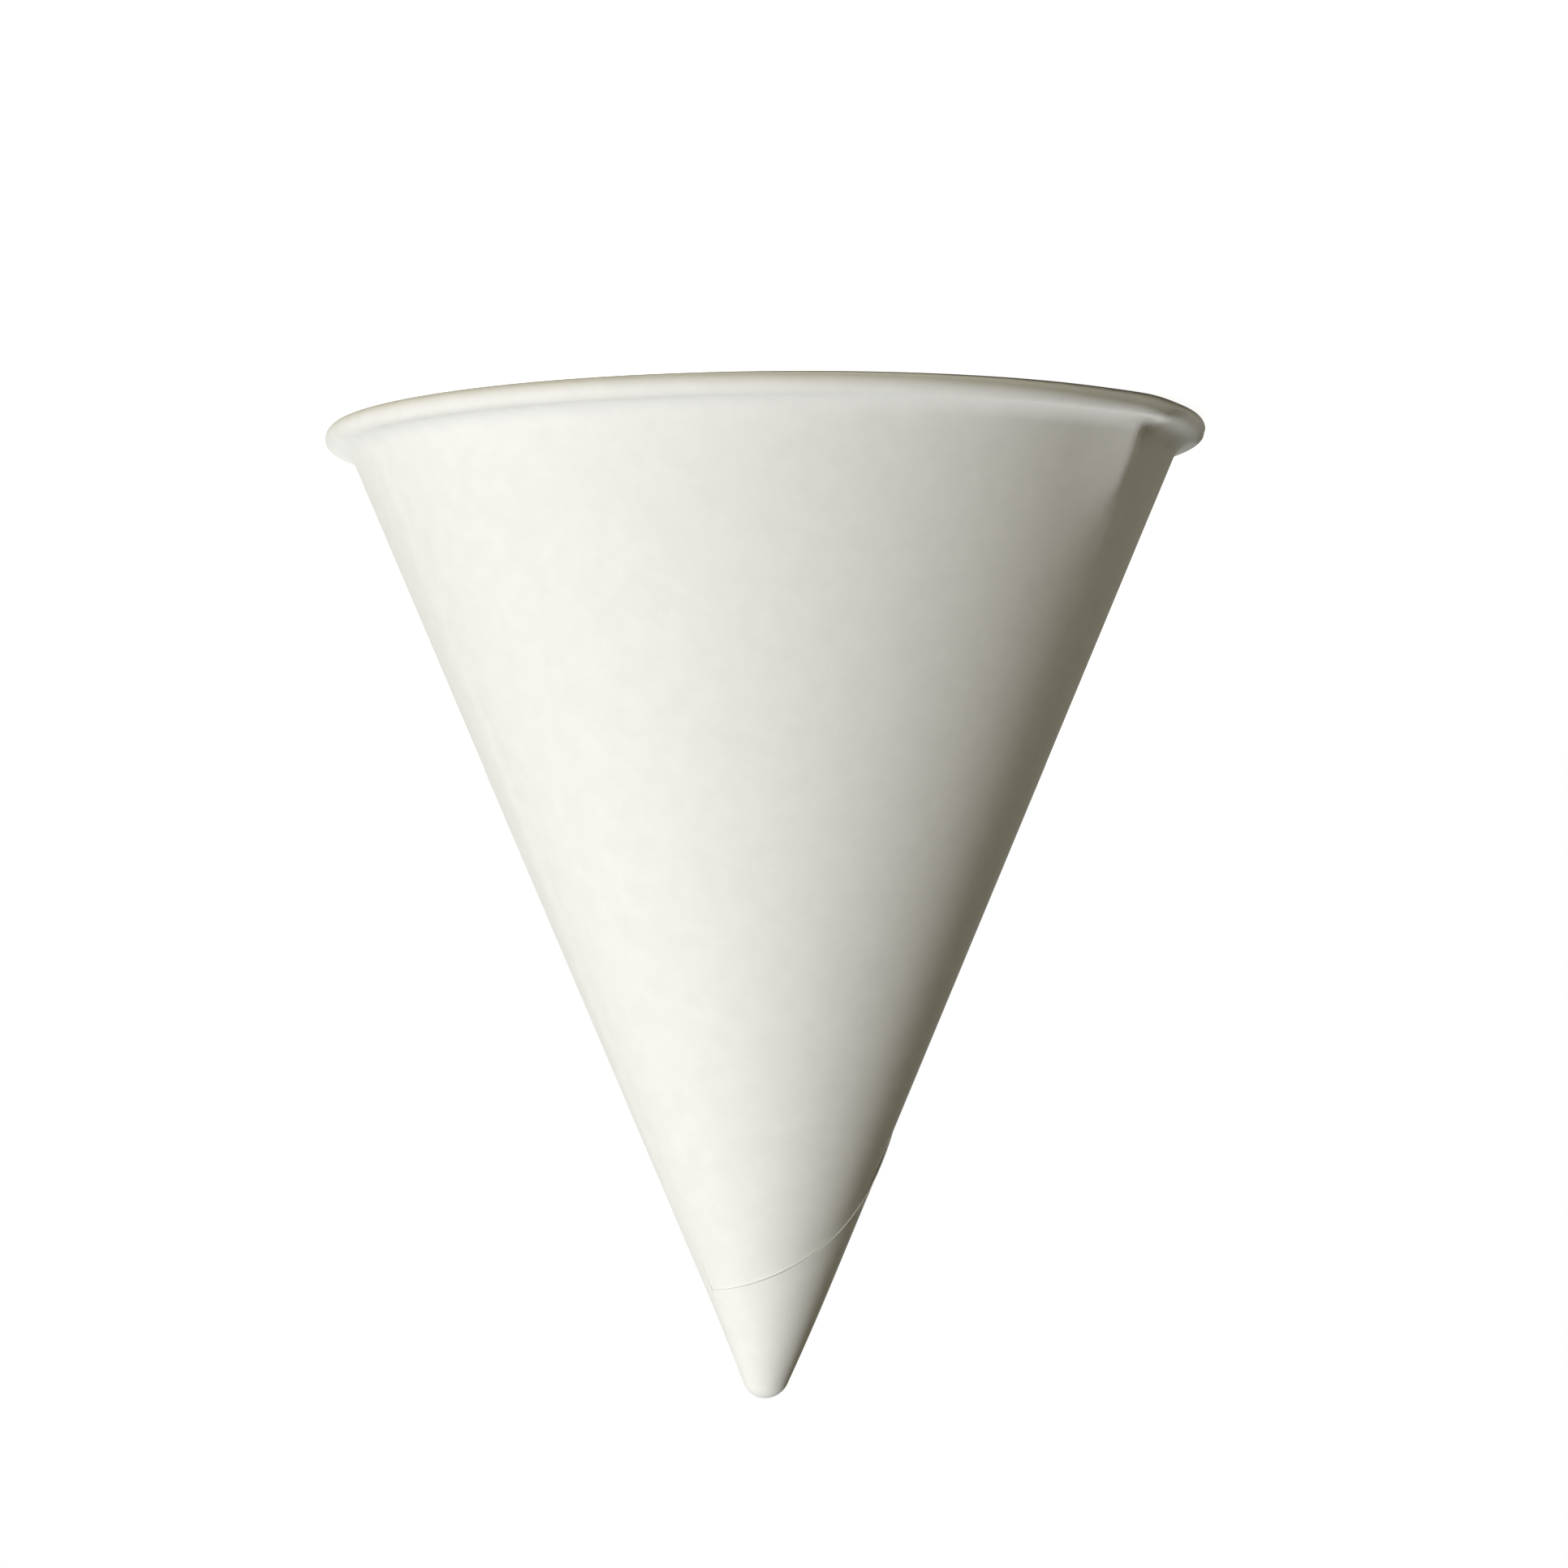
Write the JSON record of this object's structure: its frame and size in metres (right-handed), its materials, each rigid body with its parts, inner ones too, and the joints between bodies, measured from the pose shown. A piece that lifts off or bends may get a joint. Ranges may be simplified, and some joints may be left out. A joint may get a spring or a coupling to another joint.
{
  "type": "cone paper cup",
  "caption": "Pointed cone drinking cup wound from thin white paper, lapped along a straight edge, with a small rolled rim at the mouth.",
  "frame": {"origin": "centre of the rolled rim's resting plane", "axes": "+Z from the mouth to the closed tip, the cup standing mouth down on its rim; -Y is the side seen in the picture"},
  "size_m": [0.0864, 0.0864, 0.095],
  "materials": {
    "white_paper": "matt uncoated white paper, bleached, with a faint fibre mottle"
  },
  "bodies": {
    "root": {"paper_cone_cup": "white_paper"}
  },
  "joints": []
}
